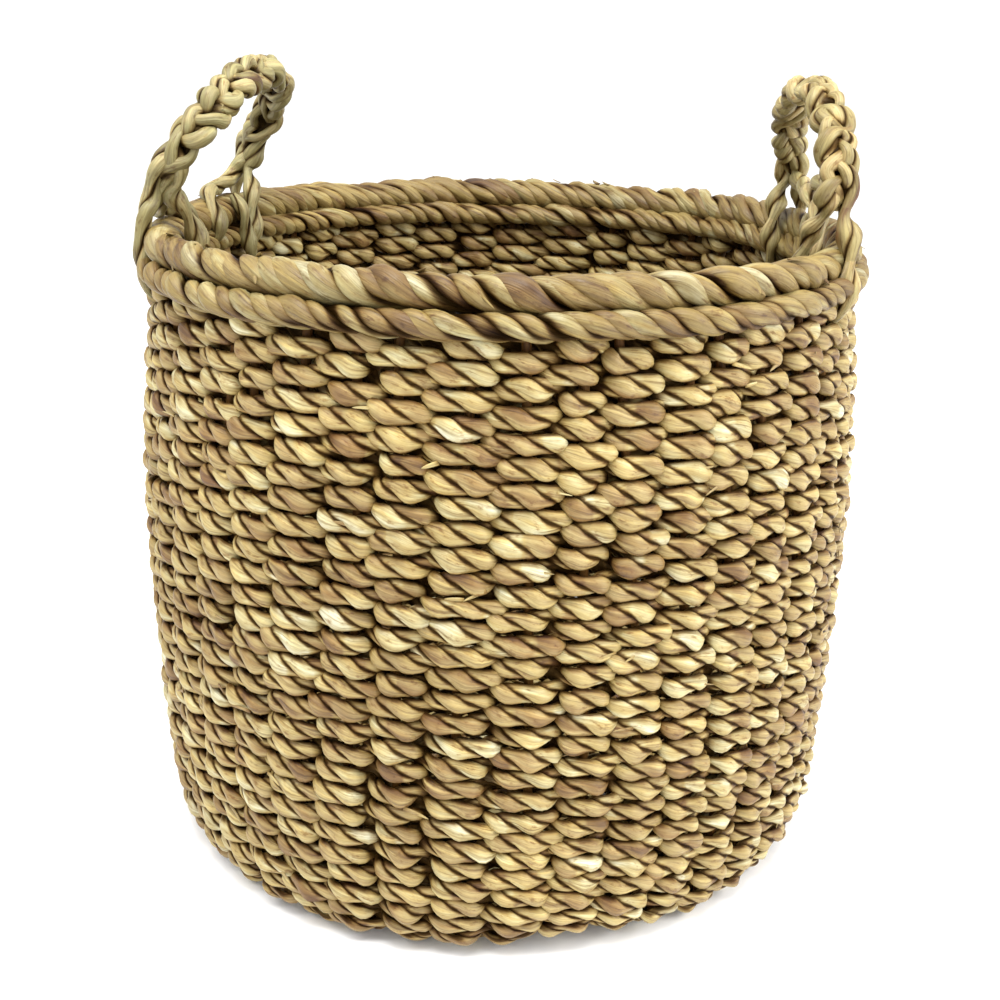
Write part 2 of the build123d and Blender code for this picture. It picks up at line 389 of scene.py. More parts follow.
# The basket has settled with use: its top is drawn in beside each handle, and the foot has lifted
# a little at the front. Each is (angle about Z, how far, angle over which it fades).
HANDLE_PULLS = [(math.pi, 10.0 * MM, 0.50), (0.0, 4.0 * MM, 0.50)]
PULL_HEIGHTS = (0.20, 0.33)          # no pull below the first, all of it above the second
FOOT_LIFTS = [(FRONT + 0.30, 5.0 * MM, 0.26)]
LIFT_HEIGHTS = (0.01, 0.10)          # all of the lift below the first, none above the second
LIFT_RADII = (0.08, 0.17)


def spread_round(angle, places):
    """The sum of smooth humps, each (angle, size, width), at an angle about Z."""
    total = 0 * angle
    for middle, size, width in places:
        away = np.remainder(angle - middle + math.pi, FULL_TURN) - math.pi
        total = total + size * np.exp(-(away / width)**2)
    return total


def pulled_in(angle, height):
    return spread_round(angle, HANDLE_PULLS) * smooth_step(*PULL_HEIGHTS, height)


def ring_point(angle, radius, height):
    """A point at an angle about Z, on the settled shape of the basket."""
    lift = spread_round(angle, FOOT_LIFTS) * (1 - smooth_step(*LIFT_HEIGHTS, height)) \
        * smooth_step(*LIFT_RADII, radius)
    radius = radius - pulled_in(angle, height)
    return np.stack([radius * np.cos(angle), radius * np.sin(angle), height + lift + 0 * angle], -1)


def outward(angle, normal_r=1.0, normal_z=0.0):
    """The outward direction at an angle about Z, given its radial and vertical parts."""
    return np.stack([np.cos(angle) * normal_r, np.sin(angle) * normal_r, normal_z + 0 * angle], -1)


# ---------------------------------------------------------------- materials


def node(tree, kind, **values):
    made = tree.nodes.new(kind)
    for name, value in values.items():
        setattr(made, name, value)
    return made


def attribute(tree, name, output):
    return node(tree, "ShaderNodeAttribute", attribute_name=name).outputs[output]


def noise(tree, vector, scale, detail, roughness=0.5):
    """Noise of one scale in every direction."""
    made = node(tree, "ShaderNodeTexNoise")
    made.inputs["Scale"].default_value = scale
    made.inputs["Detail"].default_value = detail
    made.inputs["Roughness"].default_value = roughness
    tree.links.new(vector, made.inputs["Vector"])
    return made.outputs["Fac"]


def grain(tree, fibre, scales, detail, roughness):
    """Noise with its own scale along the fibres and each way across them."""
    stretched = node(tree, "ShaderNodeVectorMath", operation="MULTIPLY")
    tree.links.new(fibre, stretched.inputs[0])
    stretched.inputs[1].default_value = scales
    return noise(tree, stretched.outputs["Vector"], 1.0, detail, roughness)


def ramp(tree, value, stops):
    made = node(tree, "ShaderNodeValToRGB")
    elements = made.color_ramp.elements
    while len(elements) < len(stops):
        elements.new(0.5)
    for element, (place, colour) in zip(elements, stops):
        element.position = place
        element.color = (*colour, 1)
    tree.links.new(value, made.inputs["Fac"])
    return made.outputs["Color"]


def join(tree, value, socket):
    """Links a node's output to a socket, or sets the socket to a plain value."""
    if isinstance(value, bpy.types.NodeSocket):
        tree.links.new(value, socket)
    else:
        socket.default_value = value


def mixed(tree, factor, first, second, blend="MIX"):
    made = node(tree, "ShaderNodeMix", data_type="RGBA", blend_type=blend)
    for label, value in (("Factor", factor), ("A", first), ("B", second)):
        join(tree, value, made.inputs[label])
    return made.outputs["Result"]


def tinted(tree, colour, by):
    return mixed(tree, 1.0, colour, by, "MULTIPLY")


def math_node(tree, operation, *values, clamp=False):
    made = node(tree, "ShaderNodeMath", operation=operation, use_clamp=clamp)
    for socket, value in zip(made.inputs, values):
        join(tree, value, socket)
    return made.outputs["Value"]


def srgb(red, green, blue):
    """Linear colour of an sRGB colour given as 0 to 255."""
    parts = (red / 255, green / 255, blue / 255)
    return tuple(part / 12.92 if part <= 0.04045 else ((part + 0.055) / 1.055)**2.4 for part in parts)


BROWN = srgb(112, 76, 38)
TAN = srgb(150, 116, 66)
STRAW = srgb(178, 152, 100)
GOLD = srgb(190, 164, 104)
PALE = srgb(206, 190, 142)
CREAM = srgb(232, 224, 196)
OLIVE = srgb(150, 138, 92)
SAGE = srgb(178, 170, 124)
WHITE = (1.0, 1.0, 1.0)
GLOSS = 0.4                          # of the open grass, falling to none where shade is painted in
ROUGH_LEAST, ROUGH_STREAKS = 0.3, 0.4
BUMP_STRENGTH = 0.6
BUMP_HEIGHT = 0.6 * MM
BUMP_STREAKS = 1.5                   # height of the streaks against that of the ribs

# For each noise in the grass: its scales along the fibres and the two ways across them, its detail
# and its roughness.
BLADES = ((0.034, 0.14, 0.14), 2.0, 0.55)
STREAKS = ((0.03, 0.6, 0.6), 2.0, 0.6)
RIBS = ((0.05, 2.2, 2.2), 2.0, 0.6)
STAINS = ((0.16, 0.42, 0.42), 3.0, 0.65)
PATCH_SCALE, PATCH_DETAIL = 14.0, 2.0

# How the blades' noise and a leaf's tone add up to its place between the darkest and palest colour.
BLADE_SHARE, TONE_SHARE, GRADE_SHIFT = 1.3, 0.66, -0.48

STREAK_STOPS = [(0.28, (0.50, 0.42, 0.30)), (0.44, (0.92, 0.90, 0.86)), (0.56, (1.05, 1.05, 1.05)),
                (0.72, (1.35, 1.35, 1.32))]
RIB_STOPS = [(0.3, (0.78, 0.74, 0.68)), (0.5, WHITE), (0.7, (1.12, 1.12, 1.10))]
PATCH_STOPS = [(0.35, (0.86, 0.82, 0.76)), (0.55, WHITE), (0.7, (1.10, 1.10, 1.08))]
STAIN_STOPS = [(0.30, (0.52, 0.38, 0.24)), (0.42, (0.94, 0.90, 0.84)), (0.60, WHITE),
               (0.75, (1.12, 1.12, 1.12))]
# Painted shade: the colour is multiplied by these, from the open crown (0) to the darkest crevice (1).
CREVICE_SHADE_STOPS = [(0.0, WHITE), (0.35, (0.76, 0.68, 0.56)), (0.70, (0.26, 0.18, 0.11)),
                 (1.0, (0.04, 0.026, 0.014))]


def seagrass(name, stops, tint=WHITE):
    """Dried twisted seagrass: leaves of different straw colours, fine ribs along them, brown stains,
    a dull gloss on the crowns, and shade painted dark into the crevices, where the gloss fades."""
    material = bpy.data.materials.new(name)
    material.use_nodes = True
    tree = material.node_tree
    shader = tree.nodes["Principled BSDF"]
    fibre = attribute(tree, "fibre", "Vector")
    blades, streaks, ribs, stains = (grain(tree, fibre, *kind) for kind in (BLADES, STREAKS, RIBS, STAINS))
    patches = noise(tree, node(tree, "ShaderNodeTexCoord").outputs["Object"], PATCH_SCALE, PATCH_DETAIL)
    grade = math_node(tree, "MULTIPLY_ADD", blades, BLADE_SHARE, GRADE_SHIFT)
    grade = math_node(tree, "MULTIPLY_ADD", attribute(tree, "tone", "Fac"), TONE_SHARE, grade, clamp=True)
    colour = ramp(tree, grade, stops)
    for value, value_stops in ((streaks, STREAK_STOPS), (ribs, RIB_STOPS), (patches, PATCH_STOPS),
                               (stains, STAIN_STOPS)):
        colour = tinted(tree, colour, ramp(tree, value, value_stops))
    colour = tinted(tree, colour, (*tint, 1))
    # Painted shade: the colour darkens towards black in the crevices, and the gloss goes with it.
    crevice = attribute(tree, "crevice", "Fac")
    colour = tinted(tree, colour, ramp(tree, crevice, CREVICE_SHADE_STOPS))
    tree.links.new(colour, shader.inputs["Base Color"])
    rough = math_node(tree, "MULTIPLY_ADD", streaks, ROUGH_STREAKS, ROUGH_LEAST, clamp=True)
    tree.links.new(rough, shader.inputs["Roughness"])
    gloss = math_node(tree, "MULTIPLY_ADD", crevice, -GLOSS, GLOSS, clamp=True)
    tree.links.new(gloss, shader.inputs["Specular IOR Level"])
    bump = node(tree, "ShaderNodeBump")
    bump.inputs["Strength"].default_value = BUMP_STRENGTH
    bump.inputs["Distance"].default_value = BUMP_HEIGHT
    tree.links.new(math_node(tree, "MULTIPLY_ADD", streaks, BUMP_STREAKS, ribs), bump.inputs["Height"])
    tree.links.new(bump.outputs["Normal"], shader.inputs["Normal"])
    return material


WALL_STOPS = [(0.0, BROWN), (0.20, TAN), (0.42, STRAW), (0.60, GOLD), (0.78, PALE), (1.0, CREAM)]
HANDLE_STOPS = [(0.0, BROWN), (0.15, OLIVE), (0.45, SAGE), (0.65, PALE), (0.8, SAGE), (1.0, CREAM)]
STAKE_STOPS = [(0.0, BROWN), (0.5, TAN), (1.0, STRAW)]

WALL_GRASS = seagrass("wall_grass", WALL_STOPS, tint=(0.71, 0.77, 0.80))
RIM_GRASS = seagrass("rim_grass", WALL_STOPS, tint=(0.44, 0.45, 0.39))
# The two handles are one grass. The left copy is tinted darker than the right: painted shade on the left
# handle, not a difference in the grass.
HANDLE_GRASS = {
    "left": seagrass("left_handle_grass", HANDLE_STOPS, tint=(0.51, 0.51, 0.46)),
    "right": seagrass("right_handle_grass", HANDLE_STOPS, tint=(0.70, 0.67, 0.61)),
}
STAKE_GRASS = seagrass("stake_grass", STAKE_STOPS)

# ---------------------------------------------------------------- woven rows

# Painted shade on a row inside the wall and at its edges: how dark, and between which distances: from the
# middle of the wall, and from the cord's own middle in shares of its half height.
INSIDE_SHADE, INSIDE_DISTANCES = 0.95, (0.5 * MM, 4.6 * MM)
EDGE_SHADE, EDGE_SHARES = 0.92, (0.56, 0.94)

# How uneven the weave is. Each wander is smooth, with its number of knots round the basket.
SQUARENESS = 1.9                     # how flat a row lies between its crossings of the wall
SWELL_POWER = 0.6                    # how soon a row is as fat as it gets after a crossing
EASE_POWER = 1.5                     # how soon a stitch shows its own unevenness
ROW_WANDER, ROW_KNOTS = 0.5 * MM, 30
REACH_WANDER, REACH_KNOTS = 0.3 * MM, 60
ANGLE_WANDER, ANGLE_KNOTS = 0.026, 50
THICKNESS_WANDER, THICKNESS_KNOTS = 0.06, 70
STITCH_LIFT = 0.45 * MM
STITCH_REACH = 0.10
STITCH_FULLNESS = 0.10
PITCH_SPREAD = (0.92, 1.08)

# Loose leaf ends. Pairs are the least and the most, and their sizes are in millimetres.
LOOSE_COUNT = 110
LOOSE_POINTS = 9
LOOSE_SIDES = 6
LOOSE_CURL = 0.12                    # how far a loose end curls off, as a share of its length
LOOSE_CURL_POWER = 2.2               # how late along it the curl comes
LOOSE_FLATNESS = 0.35                # thickness against width
LOOSE_TIP = 0.02                     # square of the width at the tip, against that at the root
LOOSE_ROOT_SHADE, LOOSE_ROOT = 0.5, 0.35      # how dark the painted shade at the root is, and the share of the length it takes
LOOSE_INSIDE = 5                    # one end in this many is inside the basket
LOOSE_DOWN = (-0.5, 0.2)             # rise for each step round the basket
LOOSE_DEPTH = (7.0, 8.6)             # from the middle of the wall to where they start
LOOSE_LENGTH = (6, 15)
LOOSE_WIDTH = (0.5, 1.4)


def attach(piece, slot, *nodes):
    """Lets a piece of the basket ride on its body in place of CAD nodes."""
    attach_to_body(piece, "basket")
    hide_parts(*nodes)


def in_the_wall(middle, path, out, half_up):
    """Painted shade for a row: dark near the middle of the wall and at the cord's upper and lower
    edges, where the next row lies against it."""
    def value(rings):
        depth = np.abs(((rings - middle[:, None]) * out[:, None]).sum(-1))
        up = unit(np.cross(out, unit(np.roll(path, -1, 0) - np.roll(path, 1, 0))))
        edge = np.abs(((rings - path[:, None]) * up[:, None]).sum(-1)) / half_up[:, None]
        return np.maximum(INSIDE_SHADE * (1 - smooth_step(*INSIDE_DISTANCES, depth)),
                          EDGE_SHADE * smooth_step(*EDGE_SHARES, edge))
    return value


def add_row(strands, number, place, groups, cord):
    """Adds one weft row, a cord that crosses in front of every second group of stakes."""
    random = np.random.default_rng(ROW_SEED + number)
    detail = min(1, on_path(place)[0] / FULL_DETAIL_RADIUS)
    around = max(FEWEST_SAMPLES, int(STAKE_COUNT * SAMPLES_PER_STAKE * detail))
    stakes = np.arange(around) * STAKE_COUNT / around
    wave = np.cos(math.pi * (stakes / groups + number))
    flat = np.tanh(SQUARENESS * wave) / math.tanh(SQUARENESS)
    crown = np.abs(wave)
    ease = crown**EASE_POWER
    lift = ROW_WANDER * wander(random, around, ROW_KNOTS) + STITCH_LIFT * per_stitch(random, stakes) * ease
    radius, height, normal_r, normal_z = on_path(place + lift)
    reach = flat * cord["swing"] * (1 + STITCH_REACH * per_stitch(random, stakes) * ease) \
        + REACH_WANDER * wander(random, around, REACH_KNOTS)
    angle = stake_angle(stakes, place) + ANGLE_WANDER * wander(random, around, ANGLE_KNOTS)
    out = outward(angle, normal_r, normal_z)
    middle = ring_point(angle, radius, height)
    path = middle + out * reach[:, None]
    fullness = 1 + STITCH_FULLNESS * per_stitch(random, stakes) * ease
    half_up = (cord["pinched"] + (cord["full"] - cord["pinched"]) * crown**SWELL_POWER) * fullness
    half_out = cord["half_thickness"] * (1 + THICKNESS_WANDER * wander(random, around, THICKNESS_KNOTS))
    length = np.linalg.norm(np.diff(path, axis=0, append=path[:1]), axis=1).sum()
    turns = round(length / (PLY_PITCH * random.uniform(*PITCH_SPREAD)))
    add_cord(strands, path, out, half_out, half_up, turns, random.uniform(0, FULL_TURN), True, number,
             buried=in_the_wall(middle, path, out, half_up))


def woven_rows():
    """Every weft row, two to a piece, each piece standing for the CAD node in its place."""
    kinds = [("base_row", "{:02d}", BASE_NODES, BASE_CORD, "base_cord"),
             ("corner_row", "{}", CORNER_NODES, CORNER_CORD, "base_cord"),
             ("wall_course", "{:02d}", WALL_NODES, WALL_CORD, "wall_cord")]
    number = 0
    for stretch, (label, digits, count, cord, slot) in enumerate(kinds):
        start, end = STRETCHES[stretch:stretch + 2]
        places = start + (np.arange(count * ROWS_PER_NODE) + 0.5) * (end - start) / (count * ROWS_PER_NODE)
        for item, pair in enumerate(places.reshape(count, ROWS_PER_NODE)):
            strands = Strands()
            for place in pair:
                groups = 2 if on_path(place)[0] < PAIRED_STAKES_RADIUS else 1
                add_row(strands, number, place, groups, cord)
                number += 1
            name = f"{label}_" + digits.format(item + 1)
            attach(strands.build("woven_" + name, WALL_GRASS), slot, name)


def loose_end(strands, start, run, lift, length, width, seed):
    """Adds the free end of a leaf: a flat blade that runs along `run` and curls off along `lift`,
    narrowing to its tip."""
    part = np.linspace(0, 1, LOOSE_POINTS)
    curl = LOOSE_CURL * length * part**LOOSE_CURL_POWER
    path = start + run * (length * part)[:, None] + lift * curl[:, None]
    side = unit(np.cross(lift, run))
    taper = np.sqrt(np.clip(1 - part**2, LOOSE_TIP, 1))
    rings = tube_rings(path, np.tile(lift, (LOOSE_POINTS, 1)), np.tile(side, (LOOSE_POINTS, 1)),
                       LOOSE_FLATNESS * width * taper, width * taper, np.ones((LOOSE_POINTS, LOOSE_SIDES)))
    # Painted shade at the root, where the end comes out of the weave.
    root = LOOSE_ROOT_SHADE * (1 - smooth_step(0.0, LOOSE_ROOT, part))
    crevice = np.repeat(root[:, None], LOOSE_SIDES, 1)
    tone = 0.1 + 0.5 * np.abs(np.sin(seed))      # from the brown end of the colours to their middle
    strands.add(rings, width, crevice, np.full(LOOSE_POINTS, tone), False, seed)


def loose_ends():
    """Free leaf ends that stick out of the weave here and there, outside the wall and inside it."""
    random = np.random.default_rng(LOOSE_SEED)
    strands = Strands()
    for item in range(LOOSE_COUNT):
        angle = random.uniform(0, FULL_TURN)
        place = random.uniform(STRETCHES[2], STRETCHES[3])
        face = 1 if item % LOOSE_INSIDE else -1
        radius, height, normal_r, normal_z = on_path(place)
        lift = face * outward(angle, normal_r, normal_z)
        around = np.array([-math.sin(angle), math.cos(angle), 0.0]) * random.choice([-1, 1])
        down = random.uniform(*LOOSE_DOWN)
        run = unit(around + np.array([0.0, 0.0, down]))
        start = ring_point(angle, radius, height) + lift * random.uniform(*LOOSE_DEPTH) * MM
        length = random.uniform(*LOOSE_LENGTH) * MM
        width = random.uniform(*LOOSE_WIDTH) * MM
        loose_end(strands, start, run, lift, length, width, LOOSE_END_SEED + item)
    piece = strands.build("loose_leaf_ends", WALL_GRASS)
    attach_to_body(piece, "basket")


STAKE_POINTS = 110
STAKE_SIDES = 8
STAKE_RADIUS = 2.4 * MM
# How dark the painted shade over the stakes is, as they lie in the wall's gaps.
STAKE_SHADE = 0.6
MIDDLE_TONE = 0.5


def stakes():
    """The upright cords, seen in the gaps between the rows, with shade painted evenly over them."""
    strands = Strands()
    places = np.linspace(0, PATH_LENGTH[-1], STAKE_POINTS)
    radius, height, normal_r, normal_z = on_path(places)
    thickness = np.full(STAKE_POINTS, STAKE_RADIUS)
    for number in range(STAKE_COUNT):
        angle = np.array([stake_angle(np.array([float(number)]), place)[0] for place in places])
        path = ring_point(angle, radius, height)
        out = outward(angle, normal_r, normal_z)
        side = unit(np.cross(out, unit(np.gradient(path, axis=0))))
        rings = tube_rings(path, out, side, thickness, thickness, np.ones((STAKE_POINTS, STAKE_SIDES)))
        strands.add(rings, STAKE_RADIUS, np.full(rings.shape[:2], STAKE_SHADE),
                    np.full(STAKE_POINTS, MIDDLE_TONE), False, STAKE_CORD_SEED + number)
    attach(strands.build("woven_stakes", STAKE_GRASS), "stake_cord", "stakes")


CROSS_COUNT = 9                      # cords each way at the middle of the base
CROSS_POINTS = 60
CROSS_OVERLAP = 3 * MM               # how far they reach under the first base row
CROSS_SWING = 2.7 * MM
CROSS_RADIUS = 3.0 * MM
CROSS_WIDENING = 1.1
CROSS_SHADE = (1 * MM, 4 * MM)       # from the middle level: dark below the first, open above the second


def base_middle():
    """The crossing of the stakes at the middle of the base: two sets of cords woven at right angles."""
    low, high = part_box("base_centre")
    level = (low.z + high.z) / 2
    edge = high.x + CROSS_OVERLAP
    spacing = 2 * high.x / CROSS_COUNT
    middle_item = (CROSS_COUNT - 1) / 2
    upward = np.array([0.0, 0.0, 1.0])
    strands = Strands()
    for axis in (0, 1):
        for item in range(CROSS_COUNT):
            side = (item - middle_item) * spacing
            half = math.sqrt(edge**2 - side**2)
            run = np.linspace(-half, half, CROSS_POINTS)
            wave = CROSS_SWING * np.cos(math.pi * (run / spacing + middle_item + item + axis))
            path = np.empty((len(run), 3))
            path[:, axis] = run
            path[:, 1 - axis] = side
            path[:, 2] = level + wave
            thickness = np.full(CROSS_POINTS, CROSS_RADIUS)
            add_cord(strands, path, np.tile(upward, (CROSS_POINTS, 1)), thickness,
                     CROSS_WIDENING * thickness, 2 * half / PLY_PITCH, item, False, BASE_MIDDLE_SEED + item,
                     buried=lambda rings: 1 - smooth_step(*CROSS_SHADE, np.abs(rings[:, :, 2] - level)))
    attach(strands.build("woven_base_centre", WALL_GRASS), "base_cord", "base_centre")


# ---------------------------------------------------------------- rim


BLADE_CROWN = math.radians(35)       # the angle round a rim rope, up from the outside, of a blade's middle
BLADE_SIZE = {4: 0.56, 5: 0.50}      # of a rim rope's radius, by the number of its strands
ROPE_POINTS = 1380
ROPE_OVERREACH = 1.04                # how far the blades reach, in shares of the rope's radius
ROPE_SHADE = (0.75, 0.93)            # shares of its radius: dark below the first, open above the second
# How dark the painted shade gets near the middle of a rope or plait.
BLADE_SHADE = 0.97
BLADE_THIN, BLADE_SWELL = 0.76, 0.34 # size of a blade where it is hidden, and what its middle adds to it

# How uneven a rim rope is: how far each thing wanders, and its number of knots round the rim.
ROPE_RISE, ROPE_RISE_KNOTS = 1.0 * MM, 26
ROPE_SWELL, ROPE_SWELL_KNOTS = 0.07, 40
LAY_WANDER, LAY_KNOTS = 0.6, 46
BLADE_WANDER, BLADE_KNOTS = 0.12, 80
ODD_REACH, ODD_SIZE = 0.10, 0.16     # by how much a blade sticks out and is fatter than its neighbours

RIM_ROW_RADIUS = 7.2 * MM
RIM_ROW_STRANDS, RIM_ROW_TURNS = 4, 27
RIM_ROW_RAISED, RIM_ROW_TUCKED = 1.5 * MM, 0.8 * MM
BORDER_STRANDS, BORDER_TURNS = 5, 23
BORDER_LOWERED, BORDER_WIDENED = 0.4 * MM, 0.3 * MM


def core_shade(distance, open_distances):
    """Painted shade from the distance to the middle of a rope or plait, which is all dark up to the
    first of two distances and open from the second."""
    return BLADE_SHADE * (1 - smooth_step(*open_distances, distance))


def per_blade(random, blade_phase, turns):
    """A random value from -1 to 1 for each blade of a strand, fading to 0 where the blade is hidden."""
    values = random.uniform(-1, 1, turns)
    return values[np.floor(blade_phase / math.pi + 0.5).astype(int) % turns] * np.cos(blade_phase)**2


def rope_ring(strands, radius, level, tube, count, turns, seed):
    """Adds a closed rope of `count` strands about the Z axis, laid unevenly by hand. Each strand is
    a folded blade, fattest where it comes over the top and the outside."""
    blade = BLADE_SIZE[count] * tube
    gap = [share * tube for share in ROPE_SHADE]
    around = ROPE_POINTS
    angle = np.arange(around) * FULL_TURN / around
    out = outward(angle)
    common = np.random.default_rng(seed)
    rise = ROPE_RISE * wander(common, around, ROPE_RISE_KNOTS)
    swell = 1 + ROPE_SWELL * wander(common, around, ROPE_SWELL_KNOTS)
    core = ring_point(angle, radius, level + rise)
    for strand in range(count):
        random = np.random.default_rng(seed + 1 + strand)
        phase = -turns * angle + strand * FULL_TURN / count + LAY_WANDER * wander(random, around, LAY_KNOTS)
        odd = per_blade(random, (phase - BLADE_CROWN) / 2, turns)
        offset = (ROPE_OVERREACH * tube - blade) * swell * (1 + ODD_REACH * odd)
        path = ring_point(angle, radius + offset * np.cos(phase), level + rise + offset * np.sin(phase))
        uneven = (1 + BLADE_WANDER * wander(random, around, BLADE_KNOTS)) * (1 + ODD_SIZE * odd)
        thickness = blade * swell * uneven * (BLADE_THIN + BLADE_SWELL * np.cos(phase - BLADE_CROWN)**2)
        add_cord(strands, path, out, thickness, thickness, turns, strand, True, seed + 1 + strand, plies=1,
                 tone_phase=(phase - BLADE_CROWN) / 2,
                 buried=lambda rings: core_shade(np.linalg.norm(rings - core[:, None], axis=-1), gap))


def rim():
    """The twined rows under the border, one outside the stakes and one inside, and the rolled border."""
    low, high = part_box("rim_row")
    level = (low.z + high.z) / 2 + RIM_ROW_RAISED
    wall = np.interp(level, PATH[:, 1], PATH[:, 0])
    beyond = high.x - (high.z - low.z) / 2 - RIM_ROW_TUCKED - wall
    for name, radius, seed in (("outer", wall + beyond, OUTER_ROW_SEED),
                               ("inner", wall - beyond, INNER_ROW_SEED)):
        strands = Strands()
        rope_ring(strands, radius, level, RIM_ROW_RADIUS, RIM_ROW_STRANDS, RIM_ROW_TURNS, seed)
        attach(strands.build(f"{name}_twined_rim_row", RIM_GRASS), "rim_cord", "rim_row")

    low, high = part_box("rim_border")
    tube = (high.z - low.z) / 2
    strands = Strands()
    rope_ring(strands, high.x - tube, (low.z + high.z) / 2 - BORDER_LOWERED, tube + BORDER_WIDENED,
              BORDER_STRANDS, BORDER_TURNS, BORDER_SEED)
    attach(strands.build("rolled_rim_border", RIM_GRASS), "rim_cord", "rim_border")


RIM_END_COUNT = 50
RIM_END_LAY = (-0.4, 2.2)            # angles round the border, up from the outside, of its loose ends
RIM_END_SLANT = (0.5, 1.6)           # how far they run along the rim for each step round the border
RIM_END_DEPTH = 0.93                 # where they start, in shares of the border's radius
RIM_END_LENGTH = (5, 10)
RIM_END_WIDTH = (0.7, 1.9)


def rim_loose_ends():
    """Short free ends of blades that lie on the rolled border, along its lay."""
    low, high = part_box("rim_border")
    tube = (high.z - low.z) / 2
    random = np.random.default_rng(RIM_END_SEED)
    strands = Strands()
    for item in range(RIM_END_COUNT):
        angle = random.uniform(0, FULL_TURN)
        lay = random.uniform(*RIM_END_LAY)
        lift = outward(angle, math.cos(lay), math.sin(lay))
        around = np.array([-math.sin(angle), math.cos(angle), 0.0])
        round_border = outward(angle, -math.sin(lay), math.cos(lay))
        run = unit(around * random.uniform(*RIM_END_SLANT) - round_border)
        start = ring_point(angle, high.x - tube, (low.z + high.z) / 2) + lift * RIM_END_DEPTH * tube
        length = random.uniform(*RIM_END_LENGTH) * MM
        width = random.uniform(*RIM_END_WIDTH) * MM
        loose_end(strands, start, run, lift, length, width, RIM_END_CORD_SEED + item)
    piece = strands.build("rim_loose_ends", RIM_GRASS)
    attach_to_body(piece, "basket")


# ---------------------------------------------------------------- handles


CURVE_STEPS = 40                     # points worked out in each span of a curve


def smooth_curve(points, count):
    """Evenly spaced points on a Catmull-Rom curve through the given points."""
    points = np.array(points, float)
    padded = np.concatenate([[2 * points[0] - points[1]], points, [2 * points[-1] - points[-2]]])
    part = np.linspace(0, 1, CURVE_STEPS, endpoint=False)[:, None]
    spans = []
    for a, b, c, d in zip(padded, padded[1:], padded[2:], padded[3:]):
        spans.append(0.5 * (2 * b + (c - a) * part + (2 * a - 5 * b + 4 * c - d) * part**2
                            + (3 * b - a - 3 * c + d) * part**3))
    dense = np.concatenate(spans + [points[-1:]])
    step = np.linalg.norm(np.diff(dense, axis=0), axis=1)
    length = np.concatenate([[0], np.cumsum(step)])
    even = np.linspace(0, length[-1], count)
    return np.stack([np.interp(even, length, dense[:, axis]) for axis in range(3)], -1)


def carried(path, first):
    """A direction square to the path at each of its points, carried along it without twisting."""
    along = unit(np.gradient(path, axis=0))
    directions = [first]
    for tangent in along:
        direction = directions[-1] - directions[-1].dot(tangent) * tangent
        directions.append(direction / np.linalg.norm(direction))
    return np.array(directions[1:])


ROPE_RADIUS = 8.5 * MM               # of the CAD rope, and of its swollen ends
ROPE_END_RADIUS = 9.2 * MM
PLAIT_PERIODS = 5
PLAIT_SWING = 5.6 * MM
PLAIT_DEPTH = 3.2 * MM
PLAIT_STRAND = 5.4 * MM
PLAIT_SHADE = (3.0 * MM, 6.0 * MM)   # from the middle of the strap: dark below the first, open above
PLAIT_POINTS = 121
PLAIT_SKIP = 6                       # the strand's curve goes through one plait point in this many
PLAIT_LOOSENESS, PLAIT_KNOTS = 0.12, 12
STRAND_POINTS = 480
STRAND_WANDER, STRAND_KNOTS = 0.10, 34
TAIL_SHARE, TAIL_END = 0.04, 0.5     # length over which a tail thins, and its size at the end
STRAND_TURNS = 8                     # that the first strand's creases make along it
PLAIT_START = 4 * MM                 # above the hinge, where the strands part

# Where the strands of a plait go below a foot, as (radius beyond the rim's middle, distance along the
# rim towards the middle of the handle, height above the hinge), in millimetres.
DOWN_OUTSIDE = [(5, -1, -9), (9, -3, -19), (11, -5, -32), (11, -4, -45), (8, -2, -56), (1, 1, -63)]
ALONG_THE_RIM = [(1, 4, -9), (2, 14, -15), (2, 28, -18), (0, 43, -19), (-5, 54, -22), (-11, 60, -32),
                 (-12, 63, -43), (-5, 65, -50)]
LOOP_INSIDE = [(-6, 2, -9), (-12, 8, -18), (-15, 13, -30), (-16, 16, -48), (-16, 20, -57), (-16, 24, -48),
               (-15, 26, -32), (-8, 27, -22)]
DOWN_INSIDE = [(-6, 0, -8), (-12, 4, -18), (-16, 8, -30), (-17, 9, -46), (-12, 8, -58), (-4, 8, -62)]
ACROSS_LOW = [(-1, 8, -7), (-9, 36, -8), (-16, 76, -9), (-14, 112, -14), (-13, 134, -26), (-14, 142, -42),
              (-6, 145, -52)]
ACROSS_HIGH = [(0, 10, -3), (-8, 40, 1), (-12, 76, -1), (-5, 112, -6), (5, 138, -17), (12, 148, -30),
               (10, 152, -44), (2, 154, -50)]

# For each handle: the side, how much further in, up and down its top and its base are than the CAD
# loop's, how square its arch is, how far its top leans to the front, how much wider it stands than the
# CAD loop, how far its front leg bows outward and its back leg inward, and its strands' tails at the
# front and the back, from the outer strand to the inner one.
HANDLES = {
    "left": {"side": -1, "inward": 13 * MM, "rise": 0 * MM, "sink": 10 * MM, "squareness": 0.66,
             "forward": 12 * MM, "spread": 2 * MM, "bow": 0.0,
             "front": [DOWN_OUTSIDE, ALONG_THE_RIM, DOWN_INSIDE],
             "back": [DOWN_OUTSIDE, ALONG_THE_RIM, LOOP_INSIDE]},
    "right": {"side": 1, "inward": 5 * MM, "rise": -4 * MM, "sink": 20 * MM, "squareness": 0.86,
              "forward": 14 * MM, "spread": 4 * MM, "bow": 3.5 * MM,
              "front": [DOWN_OUTSIDE, ACROSS_HIGH, DOWN_INSIDE],
              "back": [DOWN_OUTSIDE, ACROSS_LOW, DOWN_INSIDE]},
}


